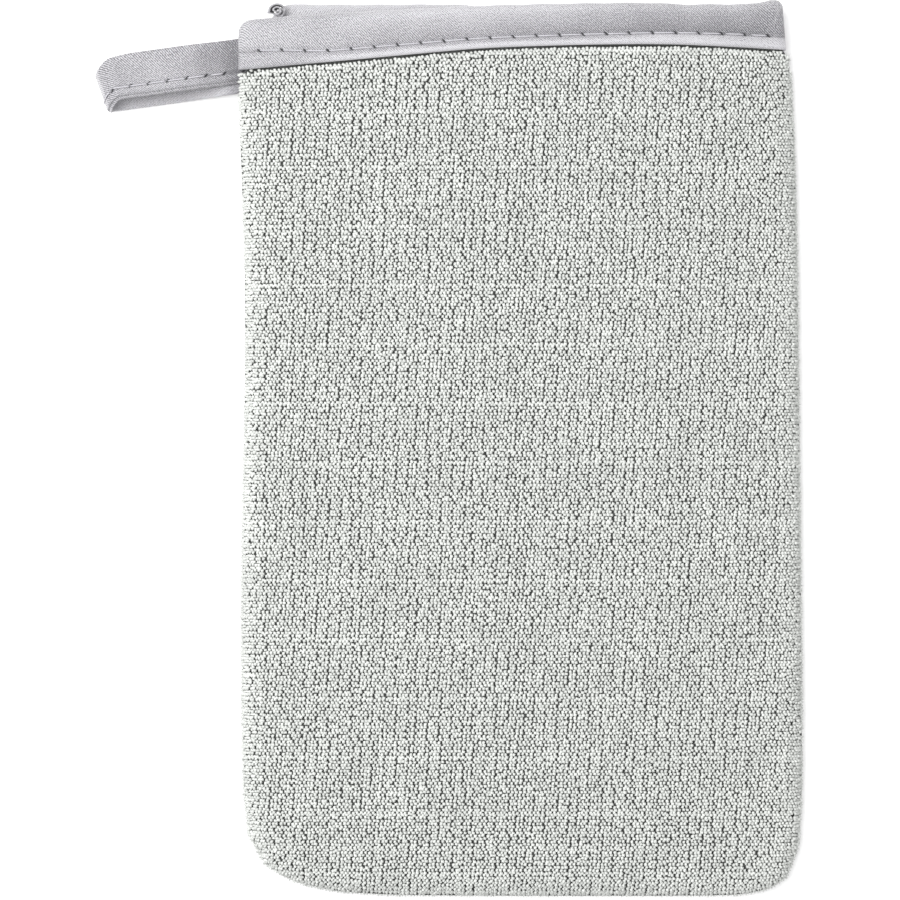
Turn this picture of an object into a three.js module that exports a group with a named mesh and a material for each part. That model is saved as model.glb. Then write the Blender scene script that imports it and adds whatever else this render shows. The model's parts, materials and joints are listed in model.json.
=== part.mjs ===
// Wash mitt, lying flat on its back panel. Two loop-pile knit panels are sewn together round the sides
// and the toe and turned, so that the seam is inside. Each panel's mouth edge is bound with folded bias
// tape, and a loop of the same tape comes out of the left side seam.
// Millimetres. +Z is up, through the thickness; +Y points to the mouth; +X is the wearer's right when
// the front panel is up. The origin is on the floor, under the middle of the whole object.
import * as THREE from 'three'

const { Vector2, Vector3 } = THREE
const { lerp, smoothstep } = THREE.MathUtils

// Cloth
const PANEL = 2.8 // loop-pile knit, pile included
const PRESSED = 1.6 // the same knit squeezed inside the binding
const TAPE = 0.6 // bias tape, two layers of satin
const GAP = 0.3 // clearance between pieces that touch
const THREAD_R = 0.2
const THREAD_GAP = 0.15

// Pouch
const SEAM_Z = 4.4 // height of the side and toe seam
const ROLL = 6 // the panels roll over to the seam within this distance of the edge
const RIM = 6.5 // width of the turned-in seam allowance
const RIM_STEP = 1
const SIDE_TOP = 8.8 // height of the front panel just inside the roll
const CROWN = 4.6 // how much higher the middle of the front panel lies
const CENTRE_X = 18.9
const HALF_WIDTH = 75
const TOE_Y = -120
const CROWN_REACH = 35 // the crown is full this far from the toe
const MOUTH_BLEND = 25 // length over which the panels rise to their bindings

// Mouth
const LIP = 2 * TAPE + 2 * GAP + PRESSED
const LIP_LEFT = -54.3
const LIP_RIGHT = 89.3
const FRONT_LIP_LEFT = 7.55 // underside of the front binding, over the ends of the hanging loop
const FRONT_LIP_RIGHT = 4.55
const FRONT_LIP_MIDDLE = 9.9
const BACK_LIP_MIDDLE = 0.6 // underside of the back binding
const BACK_LIP_END = 0.85
const LIP_PROUD = 0.4 // the tape stands this far above the pile beside it
const STITCH_LEFT = 4.8 // height of the stitch row above the tape's lower edge
const STITCH_RIGHT = 3.4
const STITCH_DIP = 0.5 // depth of the valley that the stitches pull into the tape
const STITCH_DIP_HALF = 1.5

// Hanging loop
const LOOP_WIDTH = 11.1
const LOOP_THICK = 1.2 // tape folded in four
const HINGE = new Vector3(-58.8, 103.9, 5.9) // where the upper run bends at the seam
const LOOP_REACH = 35.7
const LOOP_ANGLE = THREE.MathUtils.degToRad(7.8) // the loop points down a little towards its end
const LOOP_START = 1.6 // relief at the bend line
const LOOP_OPEN = 3.7 // half the distance between the middles of the two runs
const LOOP_PINCH = 0.75 // the same at the seam
const LOOP_SPREAD = 11 // the runs part over this length
const LOOP_SHIFT = 3.5 // the lower run lies this much further from the mouth
const LOOP_DROP = 0.8 // the far end is this much lower than the seam
const LOOP_STITCH = -3.25 // stitch row, from the middle of the tape
const TAIL_IN = -50 // inner end of the tape ends that are sewn into the seam
const TAIL_OUT = -57.3

const pile = { color: 0xb6bbb6, roughness: 0.95, metalness: 0 }
const satin = { color: 0xaeabb4, roughness: 0.5, metalness: 0 }
const sewing = { color: 0xc4c2ca, roughness: 0.6, metalness: 0 }
const overlock = { color: 0xd0d2cf, roughness: 0.8, metalness: 0 }

const mitt = new THREE.Group()

// --- geometry helpers -------------------------------------------------------------------------------

// A smooth function of x through the points.
function through(...points) {
  const slope = points.map((p, i) => {
    const a = points[Math.max(i - 1, 0)]
    const b = points[Math.min(i + 1, points.length - 1)]
    return (b[1] - a[1]) / (b[0] - a[0])
  })
  return (x) => {
    let i = points.findIndex((p) => p[0] > x) - 1
    if (i === -2) i = points.length - 2
    if (i === -1) i = 0
    const [x0, y0] = points[i]
    const [x1, y1] = points[i + 1]
    const h = x1 - x0
    const t = THREE.MathUtils.clamp((x - x0) / h, 0, 1)
    const rise = (y1 - y0) * t * t * (3 - 2 * t)
    return y0 + rise + h * t * (1 - t) * ((1 - t) * slope[i] - t * slope[i + 1])
  }
}

function addSolid(name, look, points, triangles) {
  const volume = triangles.reduce((sum, [a, b, c]) => {
    return sum + points[a].dot(new Vector3().crossVectors(points[b], points[c]))
  }, 0)
  const index = triangles.flatMap(([a, b, c]) => (volume > 0 ? [a, b, c] : [a, c, b]))
  const geometry = new THREE.BufferGeometry().setFromPoints(points)
  geometry.setIndex(index)
  addMesh(name, look, geometry)
}

function addMesh(name, look, geometry) {
  const mesh = new THREE.Mesh(geometry, new THREE.MeshStandardMaterial(look))
  mesh.name = name
  mitt.add(mesh)
  return mesh
}

// Joins rings of points into one closed body. face is the outline of a ring in its own plane.
function addLoft(name, look, rings, face) {
  const n = face.length
  const last = (rings.length - 1) * n
  const triangles = []
  for (let r = 0; r < rings.length - 1; r++) {
    for (let i = 0; i < n; i++) {
      const a = r * n + i
      const b = r * n + ((i + 1) % n)
      triangles.push([a, b, b + n], [a, b + n, a + n])
    }
  }
  for (const [a, b, c] of THREE.ShapeUtils.triangulateShape(face, [])) {
    triangles.push([c, b, a], [last + a, last + b, last + c])
  }
  // the caps wind with the face, and the sides with the rings
  if (THREE.ShapeUtils.area(face) < 0) {
    for (let i = (rings.length - 1) * n * 2; i < triangles.length; i++) triangles[i].reverse()
  }
  addSolid(name, look, rings.flat(), triangles)
}

// Closes the space between two sheets of points that share their quads.
function addShell(name, look, quads, outer, inner) {
  const n = outer.length
  const edges = new Set(quads.flatMap((q) => q.map((a, i) => `${a},${q[(i + 1) % 4]}`)))
  const triangles = []
  for (const q of quads) {
    const [a, b, c, d] = q
    triangles.push([a, b, c], [a, c, d], [n + a, n + c, n + b], [n + a, n + d, n + c])
    q.forEach((p, i) => {
      const r = q[(i + 1) % 4]
      if (!edges.has(`${r},${p}`)) triangles.push([r, p, n + p], [r, n + p, n + r])
    })
  }
  addSolid(name, look, [...outer, ...inner], triangles)
}

function addThread(name, look, points) {
  const shape = new THREE.Shape()
  const sides = 6
  for (let i = 0; i < sides; i++) {
    const turn = (i / sides) * 2 * Math.PI
    const x = THREAD_R * Math.cos(turn)
    const y = THREAD_R * Math.sin(turn)
    i ? shape.lineTo(x, y) : shape.moveTo(x, y)
  }
  const extrudePath = new THREE.CatmullRomCurve3(points)
  const steps = points.length - 1
  addMesh(name, look, new THREE.ExtrudeGeometry(shape, { steps, extrudePath, bevelEnabled: false }))
}

// --- the pouch seen from above ----------------------------------------------------------------------

// Down the left side, round the toe and up the right side. The left toe corner is cut wider.
const outline = new THREE.SplineCurve([
  new Vector2(-57, 100.5),
  new Vector2(-56.8, 84),
  new Vector2(-55.6, 62),
  new Vector2(-55.1, 35),
  new Vector2(-55.5, 5),
  new Vector2(-56.3, -30),
  new Vector2(-56.2, -70),
  new Vector2(-55.6, -94),
  new Vector2(-53.2, -107),
  new Vector2(-46, -114.2),
  new Vector2(-34, -118.4),
  new Vector2(-16, -119.8),
  new Vector2(20, -120),
  new Vector2(60, -120),
  new Vector2(79, -119.7),
  new Vector2(88.2, -117),
  new Vector2(92.8, -111),
  new Vector2(94.4, -101),
  new Vector2(94.8, -80),
  new Vector2(94.5, -35),
  new Vector2(94, 10),
  new Vector2(93.6, 50),
  new Vector2(92.7, 85),
  new Vector2(91.6, 106),
])
const LEFT_CORNER = 0.368 // share of the outline's length at the middle of each toe corner
const RIGHT_CORNER = 0.617
const SIDE_STEPS = [0, 0.13, 0.27, 0.41, 0.55, 0.67, 0.77, 0.85, 0.91, 0.96, 1]
const TOE_STEPS = [0, 0.04, 0.09, 0.16, 0.28, 0.43, 0.57, 0.72, 0.84, 0.91, 0.96, 1]
const RINGS = [0, 0.5, 1.5, 3, 5, RIM, RIM + RIM_STEP, 9]

// Mouth edge and lower edge of the tape, for the front and the back
const front = {
  up: 1,
  top: through([-54.3, 115.2], [-43.7, 116.2], [-17.4, 117.7], [13, 119.1], [45, 119.7], [64, 119.9],
    [78, 119.6], [86, 120], [89.3, 119.7]),
  low: through([-57, 101.7], [-40.5, 103.1], [-17.4, 105.1], [5.6, 107.2], [30.6, 108.2], [56, 108.5],
    [75.6, 107.9], [91, 107.2]),
}
const back = {
  up: -1,
  top: through([-54.3, 114], [-49.5, 115], [-43.7, 118.4], [-30, 118.9], [10, 119], [50, 119.2],
    [80, 118.8], [89.3, 118.2]),
  low: through([-57, 101.7], [0, 106.2], [91, 106.2]),
}

// Share of the way across the mouth, from -1 on the left to 1 on the right
const across = (x) => THREE.MathUtils.clamp((2 * (x - LIP_LEFT)) / (LIP_RIGHT - LIP_LEFT) - 1, -1, 1)

const arch = (x) => 1 - across(x) ** 4

front.lip = (x) => {
  const end = lerp(FRONT_LIP_LEFT, FRONT_LIP_RIGHT, (across(x) + 1) / 2)
  return LIP / 2 + lerp(end, FRONT_LIP_MIDDLE, arch(x))
}
back.lip = (x) => LIP / 2 + lerp(BACK_LIP_END, BACK_LIP_MIDDLE, arch(x))

const stitchDrop = (side, x) => {
  const above = lerp(STITCH_LEFT, STITCH_RIGHT, (across(x) + 1) / 2)
  return side.top(x) - side.low(x) - above
}

// Stations down the binding from the mouth edge: distance from the edge, and how deep the cloth dips
function stations(side, x) {
  const width = side.top(x) - side.low(x)
  const row = stitchDrop(side, x)
  return [
    [width - 0.7, 0],
    [row + STITCH_DIP_HALF, 0],
    [row, STITCH_DIP],
    [row - STITCH_DIP_HALF, 0],
    [LIP / 2, 0],
  ]
}

// --- panels -----------------------------------------------------------------------------------------

const ROW_A = 1.2 // the last full row of the panel lies this far below the tape
const ROW_B = 0.3 // and here it is squeezed already

function panelPlan(side) {
  const sides = SIDE_STEPS.length - 1
  const toes = TOE_STEPS.length - 1
  const shares = [
    ...SIDE_STEPS.map((s) => s * LEFT_CORNER),
    ...TOE_STEPS.slice(1).map((s) => lerp(LEFT_CORNER, RIGHT_CORNER, s)),
    ...SIDE_STEPS.slice(0, -1).reverse().map((s) => lerp(1, RIGHT_CORNER, s)),
  ]
  const last = shares.length - 1
  const points = []
  const quads = []
  const put = (p) => points.push(p) - 1

  const ring = RINGS.map((d) =>
    shares.map((share, i) => {
      const p = outline.getPointAt(share)
      const t = outline.getTangentAt(share)
      const x = p.x - t.y * d
      const y = i === 0 || i === last ? side.low(x) - ROW_A : p.y + t.x * d
      return put({ x, y, d })
    }),
  )
  for (let k = 0; k < RINGS.length - 1; k++) {
    for (let i = 0; i < last; i++) {
      quads.push([ring[k][i], ring[k][i + 1], ring[k + 1][i + 1], ring[k + 1][i]])
    }
  }

  // the middle, blended from its four sides
  const rim = ring.at(-1)
  const at = (i) => new Vector2(points[rim[i]].x, points[rim[i]].y)
  const topAt = (t) => {
    const x = lerp(at(0).x, at(last).x, t)
    return new Vector2(x, side.low(x) - ROW_A)
  }
  const grid = SIDE_STEPS.map((s, a) =>
    TOE_STEPS.map((t, b) => {
      if (b === 0) return rim[a]
      if (b === toes) return rim[last - a]
      if (a === sides) return rim[sides + b]
      const p = new Vector2()
      p.addScaledVector(topAt(t), 1 - s).addScaledVector(at(sides + b), s)
      p.addScaledVector(at(a), 1 - t).addScaledVector(at(last - a), t)
      p.addScaledVector(at(0), (s - 1) * (1 - t)).addScaledVector(at(last), (s - 1) * t)
      p.addScaledVector(at(sides), -s * (1 - t)).addScaledVector(at(sides + toes), -s * t)
      return put({ x: p.x, y: p.y, d: RINGS.at(-1) })
    }),
  )
  for (let a = 0; a < sides; a++) {
    for (let b = 0; b < toes; b++) {
      quads.push([grid[a][b], grid[a + 1][b], grid[a + 1][b + 1], grid[a][b + 1]])
    }
  }

  // the edge that goes into the binding
  const edge = [...ring.map((r) => r[0]), ...grid[0].slice(1, -1), ...ring.map((r) => r[last]).reverse()]
  const left = points[edge[0]].x
  const right = points[edge.at(-1)].x
  let below = edge
  const columns = edge.map((i) => lerp(LIP_LEFT, LIP_RIGHT, (points[i].x - left) / (right - left)))
  const half = PRESSED / 2
  const fold = LIP / 2
  const rows = [
    (x) => [side.top(x) - side.low(x) + ROW_B, half],
    ...[0, 1, 2, 3, 4].map((j) => (x) => {
      const [w, dip] = stations(side, x)[j]
      return [w, half - dip]
    }),
    () => [fold - half * Math.SQRT1_2, half * Math.SQRT1_2],
    () => [fold - half + 0.05, half / 3],
  ]
  for (const row of rows) {
    const above = columns.map((x) => {
      const [w, thick] = row(x)
      return put({ x, y: side.top(x) - w, half: thick })
    })
    for (let c = 0; c < above.length - 1; c++) {
      quads.push([below[c], below[c + 1], above[c + 1], above[c]])
    }
    below = above
  }
  return { points, quads, columns }
}

const roll = (d) => Math.sqrt(1 - (1 - Math.min(d / ROLL, 1)) ** 2)

const mouthShare = (side, p) => smoothstep(p.y, side.low(p.x) - MOUTH_BLEND, side.low(p.x) - ROW_A)

function crown(p) {
  const sideways = 1 - Math.min(Math.abs(p.x - CENTRE_X) / HALF_WIDTH, 1) ** 3
  const fromToe = Math.min((p.y - TOE_Y) / CROWN_REACH, 1)
  return CROWN * sideways * (1 - (1 - fromToe) ** 2)
}

// The front panel's edge is lifted where the ends of the hanging loop pass under it.
function frontRim(p) {
  const lift = smoothstep(p.y, 78, 93) * (1 - smoothstep(p.x, -45, -10))
  return lerp(SEAM_Z + GAP / 2, FRONT_LIP_LEFT, lift)
}

function frontHeights(p) {
  if (p.half) return [front.lip(p.x) + p.half, front.lip(p.x) - p.half]
  const rim = frontRim(p)
  const atMouth = front.lip(p.x) + LIP / 2 - LIP_PROUD
  const full = lerp(SIDE_TOP + crown(p), atMouth, mouthShare(front, p))
  const outer = lerp(rim + GAP, full, roll(p.d))
  return [outer, p.d <= RIM ? rim : outer - PANEL]
}

function backHeights(p) {
  if (p.half) return [back.lip(p.x) - p.half, back.lip(p.x) + p.half]
  const rim = SEAM_Z - GAP / 2
  const atMouth = back.lip(p.x) - LIP / 2 + LIP_PROUD
  const full = lerp(0, atMouth, mouthShare(back, p))
  const outer = lerp(rim - GAP, full, roll(p.d))
  return [outer, p.d <= RIM ? rim : outer + PANEL]
}

function addPanel(name, plan, heights) {
  const levels = plan.points.map(heights)
  const outer = plan.points.map((p, i) => new Vector3(p.x, p.y, levels[i][0]))
  const inner = plan.points.map((p, i) => new Vector3(p.x, p.y, levels[i][1]))
  addShell(name, pile, plan.quads, outer, inner)
}

// --- bindings and their stitching -------------------------------------------------------------------

// Section of a binding: down the outside of one leg, round the fold and up the other, then back inside.
// Each point is the distance from the mouth edge and the height from the middle of the lip.
function bindingSection(side, x) {
  const width = side.top(x) - side.low(x)
  const half = LIP / 2
  const legOut = [[width, half - 0.35], ...stations(side, x).map(([w, dip]) => [w, half - dip])]
  const legIn = [[width, half - TAPE], ...stations(side, x).map(([w, dip]) => [w, half - TAPE - dip])]
  const fold = (r) => [45, 0, -45].map((degrees) => {
    const turn = THREE.MathUtils.degToRad(degrees)
    return [half - r * Math.cos(turn), r * Math.sin(turn)]
  })
  const mirrored = (leg) => leg.map(([w, z]) => [w, -z])
  return [
    ...legOut,
    ...fold(half),
    ...mirrored(legOut).reverse(),
    ...mirrored(legIn),
    ...fold(half - TAPE).reverse(),
    ...legIn.reverse(),
  ]
}

function addBinding(name, side, columns) {
  const rings = columns.map((x) =>
    bindingSection(side, x).map(([w, z]) => new Vector3(x, side.top(x) - w, side.lip(x) + z)),
  )
  const face = bindingSection(side, columns[0]).map(([w, z]) => new Vector2(-w, z))
  addLoft(name, satin, rings, face)
}

// The thread lies in its valley, on the upper (1) or the lower (-1) face of the lip.
function addBindingThread(name, side, facing) {
  const off = LIP / 2 - STITCH_DIP + THREAD_GAP + THREAD_R
  const points = []
  const steps = 24
  for (let i = 0; i <= steps; i++) {
    const x = lerp(LIP_LEFT + 1.5, LIP_RIGHT - 1.5, i / steps)
    points.push(new Vector3(x, side.top(x) - stitchDrop(side, x), side.lip(x) + facing * off))
  }
  addThread(name, sewing, points)
}

// --- seam inside the pouch --------------------------------------------------------------------------

// Overlock thread over the raw edge of the allowance, one band above the seam and one below it.
function addSeamBand(name, low, high) {
  const from = 0.05
  const to = 0.95
  const steps = 48
  const inner = RIM + RIM_STEP + GAP
  const outer = inner + 0.5
  const rings = []
  for (let i = 0; i <= steps; i++) {
    const share = lerp(from, to, i / steps)
    const p = outline.getPointAt(share)
    const t = outline.getTangentAt(share)
    const put = (d, z) => new Vector3(p.x - t.y * d, p.y + t.x * d, z)
    rings.push([put(inner, low), put(outer, low), put(outer, high), put(inner, high)])
  }
  const face = [[inner, low], [outer, low], [outer, high], [inner, high]]
  addLoft(name, overlock, rings, face.map(([d, z]) => new Vector2(-d, z)))
}

// --- hanging loop -----------------------------------------------------------------------------------

const ALONG = new Vector3(-Math.cos(LOOP_ANGLE), -Math.sin(LOOP_ANGLE), 0)
const SIDEWAYS = new Vector3(-Math.sin(LOOP_ANGLE), Math.cos(LOOP_ANGLE), 0)
const UP = new Vector3(0, 0, 1)

// Middle line of the tape: out along the upper run, round the bend and back along the lower run. Each
// stop has its reach from the bend line, its height, its sideways shift and the tape's outward normal.
function loopStops(from) {
  const bend = LOOP_REACH - LOOP_OPEN - LOOP_THICK / 2
  const drop = (r) => (LOOP_DROP * r) / LOOP_REACH
  const spread = (r) => lerp(LOOP_PINCH, LOOP_OPEN, smoothstep(r, 0, LOOP_SPREAD))
  const legs = 12
  const turns = 8
  const stops = []
  for (let i = 0; i < legs; i++) {
    const r = lerp(from, bend, i / legs)
    stops.push({ r, z: spread(r) - drop(r), shift: 0, turn: Math.PI / 2 })
  }
  for (let i = 0; i <= turns; i++) {
    const turn = lerp(Math.PI / 2, -Math.PI / 2, i / turns)
    const r = bend + LOOP_OPEN * Math.cos(turn)
    const shift = -LOOP_SHIFT * smoothstep(i / turns, 0, 1)
    stops.push({ r, z: LOOP_OPEN * Math.sin(turn) - drop(bend), shift, turn })
  }
  for (let i = legs - 1; i >= 0; i--) {
    const r = lerp(from, bend, i / legs)
    stops.push({ r, z: -spread(r) - drop(r), shift: -LOOP_SHIFT, turn: -Math.PI / 2 })
  }
  return stops
}

function loopPoint(stop, sideways, outwards) {
  const p = HINGE.clone()
  p.y += stop.shift
  p.addScaledVector(ALONG, stop.r + outwards * Math.cos(stop.turn))
  p.addScaledVector(SIDEWAYS, sideways)
  p.addScaledVector(UP, stop.z + outwards * Math.sin(stop.turn))
  return p
}

function addLoop() {
  const w = LOOP_WIDTH / 2
  const t = LOOP_THICK / 2
  const soft = 0.35
  const corners = [
    [w, t - soft], [w - soft, t], [-w + soft, t], [-w, t - soft],
    [-w, -t + soft], [-w + soft, -t], [w - soft, -t], [w, -t + soft],
  ]
  const rings = loopStops(LOOP_START).map((stop) => corners.map(([s, o]) => loopPoint(stop, s, o)))
  addLoft('hanging_loop', satin, rings, corners.map(([s, o]) => new Vector2(-s, o)))
}

// The outer thread faces out of the loop, and the inner one faces its eye and ends where the runs meet.
function addLoopThread(name, from, facing) {
  const off = facing * (LOOP_THICK / 2 + THREAD_GAP + THREAD_R)
  addThread(name, sewing, loopStops(from).map((stop) => loopPoint(stop, LOOP_STITCH, off)))
}

// The ends of the loop's tape, one on the other between the two panels
function addLoopTail(name, shift, middle) {
  const w = LOOP_WIDTH / 2
  const slope = Math.tan(LOOP_ANGLE)
  const corner = (x, s) => new Vector2(x, HINGE.y + shift + s + (x - HINGE.x) * slope)
  const shape = new THREE.Shape([
    corner(TAIL_OUT, -w), corner(TAIL_IN, -w), corner(TAIL_IN, w), corner(TAIL_OUT, w),
  ])
  const geometry = new THREE.ExtrudeGeometry(shape, { depth: LOOP_THICK, bevelEnabled: false })
  const mesh = addMesh(name, satin, geometry)
  mesh.position.z = HINGE.z + middle - LOOP_THICK / 2
}

// --- rolled end of the back binding's tape at the left corner of the mouth --------------------------

function addTapeEnd() {
  const length = 5.7
  const reach = 1.75
  const high = 1.35
  const start = 0.25 * Math.PI
  const end = 1.95 * Math.PI
  const shape = new THREE.Shape()
  shape.absellipse(0, 0, high, reach, start, end, false, 0)
  shape.absellipse(0, 0, high - TAPE, reach - TAPE, end, start, true, 0)
  const options = { depth: length, bevelEnabled: false, curveSegments: 14 }
  const mesh = addMesh('binding_tape_end', satin, new THREE.ExtrudeGeometry(shape, options))
  mesh.rotation.y = Math.PI / 2
  mesh.position.set(-49.3, 118, HINGE.z)
}

const frontPlan = panelPlan(front)
const backPlan = panelPlan(back)
addPanel('front_panel', frontPlan, frontHeights)
addPanel('back_panel', backPlan, backHeights)
addBinding('front_binding', front, frontPlan.columns)
addBinding('back_binding', back, backPlan.columns)
addBindingThread('front_binding_needle_thread', front, 1)
addBindingThread('front_binding_bobbin_thread', front, -1)
addBindingThread('back_binding_needle_thread', back, -1)
addBindingThread('back_binding_bobbin_thread', back, 1)
addSeamBand('seam_upper_thread', SEAM_Z + 0.2, SEAM_Z + 1.3)
addSeamBand('seam_lower_thread', SEAM_Z - 1.3, SEAM_Z - 0.2)
addLoop()
addLoopThread('loop_needle_thread', LOOP_START + 1, 1)
addLoopThread('loop_bobbin_thread', LOOP_SPREAD * 0.7, -1)
addLoopTail('loop_upper_tail', 0, LOOP_PINCH)
addLoopTail('loop_lower_tail', -LOOP_SHIFT, -LOOP_PINCH)
addTapeEnd()

export default mitt
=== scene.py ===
# Wash mitt, lying on its back panel: the looks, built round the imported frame.
# The frame is in metres; the sizes below and the shapes made from them are in millimetres.
import json
import math

import bmesh
import bpy
import numpy as np
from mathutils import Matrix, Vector
from mathutils.bvhtree import BVHTree

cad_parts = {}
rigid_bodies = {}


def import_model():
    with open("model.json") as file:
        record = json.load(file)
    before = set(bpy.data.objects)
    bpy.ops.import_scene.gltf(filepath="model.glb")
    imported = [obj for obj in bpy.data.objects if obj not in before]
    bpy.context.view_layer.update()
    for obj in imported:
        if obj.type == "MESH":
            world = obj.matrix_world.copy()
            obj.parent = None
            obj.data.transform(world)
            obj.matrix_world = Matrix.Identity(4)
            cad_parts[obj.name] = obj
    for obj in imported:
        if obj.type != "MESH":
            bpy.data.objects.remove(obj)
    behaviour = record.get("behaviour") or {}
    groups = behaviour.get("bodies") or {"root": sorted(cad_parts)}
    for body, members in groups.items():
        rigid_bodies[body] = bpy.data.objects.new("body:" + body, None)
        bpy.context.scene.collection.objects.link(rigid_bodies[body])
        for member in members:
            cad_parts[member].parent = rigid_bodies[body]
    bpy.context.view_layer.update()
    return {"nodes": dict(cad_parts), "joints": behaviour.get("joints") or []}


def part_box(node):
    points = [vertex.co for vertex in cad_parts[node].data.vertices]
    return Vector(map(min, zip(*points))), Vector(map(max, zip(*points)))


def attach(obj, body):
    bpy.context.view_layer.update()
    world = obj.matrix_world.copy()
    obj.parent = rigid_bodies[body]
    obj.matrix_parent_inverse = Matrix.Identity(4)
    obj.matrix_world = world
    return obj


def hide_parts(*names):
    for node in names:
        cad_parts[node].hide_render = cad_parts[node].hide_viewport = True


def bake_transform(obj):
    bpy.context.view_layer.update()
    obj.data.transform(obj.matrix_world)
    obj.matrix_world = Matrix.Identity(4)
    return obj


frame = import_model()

MM = 0.001
SEED = 7

# Pile
PILE = 1.75  # height of a loop from its root to its tip
GROUND_INSET = 1.45  # the ground knit lies this far under the tips of the loops
WALE = 1.072  # from a loop to the next across the panel
COURSE = 0.79  # from a row of loop tops to the next
WALE_SKEW = 0.083  # the wales lean to the right, for each millimetre along them
YARN = 0.51  # radius of the yarn at the top of a loop
YARN_ENDS = 0.64  # how much of that is left at its two ends
ZIGZAG = math.radians(40)  # a row of loops is turned to one side, and the next row to the other
ZIGZAG_SHIFT = 0.19  # the rows are also shifted sideways by turns
SITE_JITTER = 0.12  # a loop stands up to this far from its place each way
LOOP_TURN = math.radians(16)  # and is turned, leans and differs in size up to this much
LOOP_LEAN = math.radians(7)
LOOP_SIZES = 0.1
TUCK = 0.5  # the last row of loops stands this far from the tape
SEAM_FILL = 1.05  # from a loop to the next up the side of the lifted mouth
STEEPEST = -0.2  # loops stand only where the panel's face looks outward more than this
CLEAR = 60.0  # rays towards the mitt start this far out

# Binding
TAPE = 0.6  # two layers of satin
LIP = 1.7  # half thickness of a bound edge
RING = 0.4  # distance between the rings that a tape is made of
STITCH = 6.19  # length of a stitch on the bindings
FIRST_HOLE = -51.1  # place of a needle hole at the left end
STITCH_DIP = 0.5  # depth of the valley that the stitches pull into the tape
THREAD = 0.17  # radius of the sewing thread
FRONT_OVER = (2.4, 0.5)  # the front tape runs on past the knit at the left and the right
BACK_OVER = (0.8, 0.3)  # and the back tape
END_SLANT = 0.9  # the right end of the tape slants out towards the knit
FAR = 9.0  # stands for no stitches near by

# Hanging loop
LOOP_WIDTH = 11.1
LOOP_THICK = 1.2  # tape folded in four
LOOP_REACH = 36.1  # how far the loop stands out
LOOP_ANGLE = math.radians(7.8)  # it points a little towards the toe
LOOP_OPEN = 3.7  # half the distance between the middles of the two runs
LOOP_PINCH = 0.75  # the same at the seam
LOOP_SPREAD = 11  # the runs part over this length
LOOP_SHIFT = 3.5  # the lower run lies this much further from the mouth
LOOP_DROP = 0.8  # the far end is this much lower than the seam
LOOP_ROW = -3.25  # stitch row, from the middle of the tape
LOOP_STITCH = 5.2
LOOP_TAIL = 8.9  # length of each end inside the seam
LOOP_SLANT = 0.18  # how far the bend leans back, for each millimetre across the tape
LOOP_CORNER = 4.0  # from here across the tape it leans the other way
LOOP_BEND = 16  # the lean comes in over this length before the bend
LOOP_CURL = 1.6  # how far the upper edge is drawn in at the bend, and where that begins
LOOP_CURL_FROM = 25
LOOP_UNDER = 0.9  # the inner layer of the tape reaches this far beyond the outer one
LOOP_HINGE = Vector((-58.8, 104.5, 5.9))  # the upper and lower runs meet here at the side seam
LOOP_FIRST_HOLE = LOOP_TAIL + 2.2  # from the end of the tape

# Seam
OVERLOCK_STITCH_LENGTH = 1.9
OVERLOCK_THREAD = 0.16  # radius

# Rolled tape end
ROLL_HEIGHT = 2.3
ROLL_RADII = (2.4, 1.9)
ROLL_WALL = 0.34
ROLL_TURN = 700  # degrees from its outer end to its inner one
ROLL_KEPT = 0.24  # the share of its radius that is left at the inner end

# Studio, in metres
CAMERA_HEIGHT = 1.6
MIDDLE_HEIGHT = 0.009  # of the mitt
VIEW_WIDTH = 0.2412  # at that height
PAPER_GLOW = 0.25
SKY_LIGHT = 0.62
SKY_SEEN = 0.5  # added where the camera looks straight at the sky

# Colours
PILE_ROOT_SHADE = (0.04, 0.043, 0.04)
PILE_SHADE = (0.56, 0.574, 0.555)
PILE_LIGHT = (0.81, 0.825, 0.80)
# the ground knit's two tones are painted far darker than its yarn, as painted shade under the pile
GROUND_SHADED_DARK = (0.049, 0.0518, 0.049)
GROUND_SHADED_PALE = (0.112, 0.1184, 0.112)
SATIN_SHADE = (0.10, 0.098, 0.11)
SATIN_LIGHT = (0.60, 0.592, 0.62)
# painted shade for the needle holes, the stitch groove and other hollows of the tape
PAINTED_HOLE_SHADE = (0.02, 0.02, 0.024)
SEWING_LIGHT = (0.72, 0.71, 0.75)
SEWING_SHADE = (0.45, 0.44, 0.48)
OVERLOCK_LIGHT = (0.72, 0.73, 0.71)
OVERLOCK_SHADE = (0.5, 0.51, 0.5)
PAPER = (0.92, 0.92, 0.92)
WHITE = (1, 1, 1)

pivots = {j["name"]: Vector(j["pos_m"]) / MM for j in frame["joints"]}
CENTRE = pivots["mouth_opening"].x
SEAM = pivots["mouth_opening"].z
LOOP_EXIT = (94.5, 110.5)  # the hanging loop leaves the seam between these heights


# --- meshes ---

def add(name, data):
    made = bpy.data.objects.new(name, data)
    bpy.context.scene.collection.objects.link(made)
    return made


def add_values(mesh, label, values):
    made = mesh.attributes.new(label, "FLOAT", "POINT")
    made.data.foreach_set("value", np.asarray(values, np.float32).ravel())


def new_piece(name, points, faces, finish):
    """An object from points in millimetres."""
    mesh = bpy.data.meshes.new(name)
    mesh.from_pydata((np.asarray(points, float) * MM).tolist(), [], faces)
    mesh.validate()
    piece = add(name, mesh)
    mesh.materials.append(finish)
    mesh.polygons.foreach_set("use_smooth", [True] * len(mesh.polygons))
    return piece


def piece_of(name, shape):
    """An object from an edited mesh, which is freed."""
    mesh = bpy.data.meshes.new(name)
    shape.to_mesh(mesh)
    shape.free()
    return add(name, mesh)


def tube_faces(rings, sides):
    """Faces of a closed tube: from ring to ring, and its two ends."""
    faces = []
    for i in range(rings - 1):
        for k in range(sides):
            a = i * sides + k
            b = i * sides + (k + 1) % sides
            faces.append((a, b, b + sides, a + sides))
    faces.append(tuple(reversed(range(sides))))
    faces.append(tuple((rings - 1) * sides + k for k in range(sides)))
    return faces


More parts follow.
